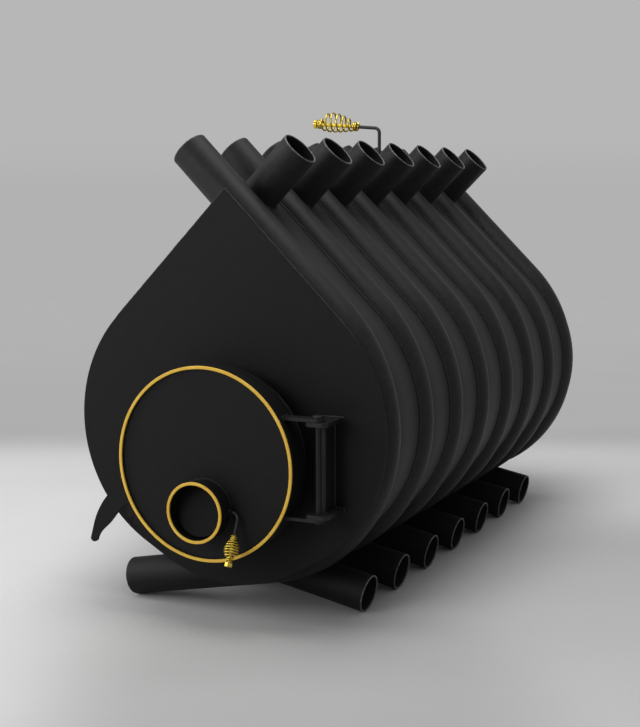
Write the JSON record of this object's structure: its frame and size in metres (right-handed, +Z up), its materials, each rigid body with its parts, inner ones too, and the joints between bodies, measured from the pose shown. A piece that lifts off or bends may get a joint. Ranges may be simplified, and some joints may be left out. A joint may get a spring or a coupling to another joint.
{
  "type": "convection wood stove",
  "caption": "Wood stove with a drop-shaped firebox walled by bent air tubes, a round hinged door with an air inlet, and a flue damper.",
  "frame": {"origin": "on the floor, under the middle of the whole length and width", "axes": "+Z up, the door faces -Y, +X is to the right seen from the front"},
  "size_m": [0.6846, 1.5302, 1.0129],
  "materials": {
    "tube_paint": "matt heat-proof paint",
    "body_paint": "matt heat-proof paint",
    "trim_paint": "golden yellow paint",
    "grip_brass": "polished",
    "dark_steel": "black coated steel",
    "rope_seal": "glass-fibre rope"
  },
  "bodies": {
    "stove": {"tube_right_1": "tube_paint", "tube_right_2": "tube_paint", "tube_right_3": "tube_paint", "tube_right_4": "tube_paint", "tube_right_5": "tube_paint", "tube_right_6": "tube_paint", "tube_right_7": "tube_paint", "tube_right_8": "tube_paint", "tube_left_1": "tube_paint", "tube_left_2": "tube_paint", "tube_left_3": "tube_paint", "tube_left_4": "tube_paint", "tube_left_5": "tube_paint", "tube_left_6": "tube_paint", "tube_left_7": "tube_paint", "strip_right_1": "body_paint", "strip_right_2": "body_paint", "strip_right_3": "body_paint", "strip_right_4": "body_paint", "strip_right_5": "body_paint", "strip_right_6": "body_paint", "strip_right_7": "body_paint", "strip_left_1": "body_paint", "strip_left_2": "body_paint", "strip_left_3": "body_paint", "strip_left_4": "body_paint", "strip_left_5": "body_paint", "strip_left_6": "body_paint", "strip_left_7": "body_paint", "strip_left_8": "body_paint", "front_plate": "body_paint", "rear_plate": "body_paint", "baffle_plate": "body_paint", "flue_duct": "body_paint", "flue_spigot": "body_paint", "flue_guide": "body_paint", "door_neck": "body_paint", "hinge_bracket": "body_paint", "hinge_pin": "dark_steel", "latch_keeper": "body_paint"},
    "door": {"door_band": "body_paint", "door_trim": "trim_paint", "door_panel": "body_paint", "door_arm_upper": "body_paint", "door_arm_lower": "body_paint", "door_seal": "rope_seal", "seal_channel": "body_paint", "door_shield": "body_paint", "inlet_tube": "body_paint", "inlet_trim": "trim_paint", "latch_lug": "body_paint", "latch_bolt": "dark_steel"},
    "latch": {"latch_lever": "body_paint"},
    "inlet_damper": {"inlet_disc": "body_paint", "inlet_spindle": "dark_steel", "inlet_grip": "grip_brass"},
    "flue_damper": {"flue_damper_disc": "body_paint", "flue_damper_spindle": "dark_steel", "flue_damper_grip": "grip_brass"}
  },
  "joints": [
    {"name": "door_swing", "type": "hinge", "parent": "stove", "child": "door", "pos_m": [0.226, -0.68368, 0.3167], "axis": [0, 0, 1], "range_deg": [0, 135]},
    {"name": "latch_turn", "type": "hinge", "parent": "door", "child": "latch", "pos_m": [-0.18545, -0.67428, 0.23413], "axis": [0, -1, 0], "range_deg": [0, 32]},
    {"name": "inlet_damper_turn", "type": "hinge", "parent": "door", "child": "inlet_damper", "pos_m": [0, -0.71568, 0.232], "axis": [-1, 0, 0], "range_deg": [-15, 65]},
    {"name": "flue_damper_turn", "type": "hinge", "parent": "stove", "child": "flue_damper", "pos_m": [-0.012, 0.15082, 0.62], "axis": [0, 0, 1], "range_deg": [0, 90]}
  ]
}
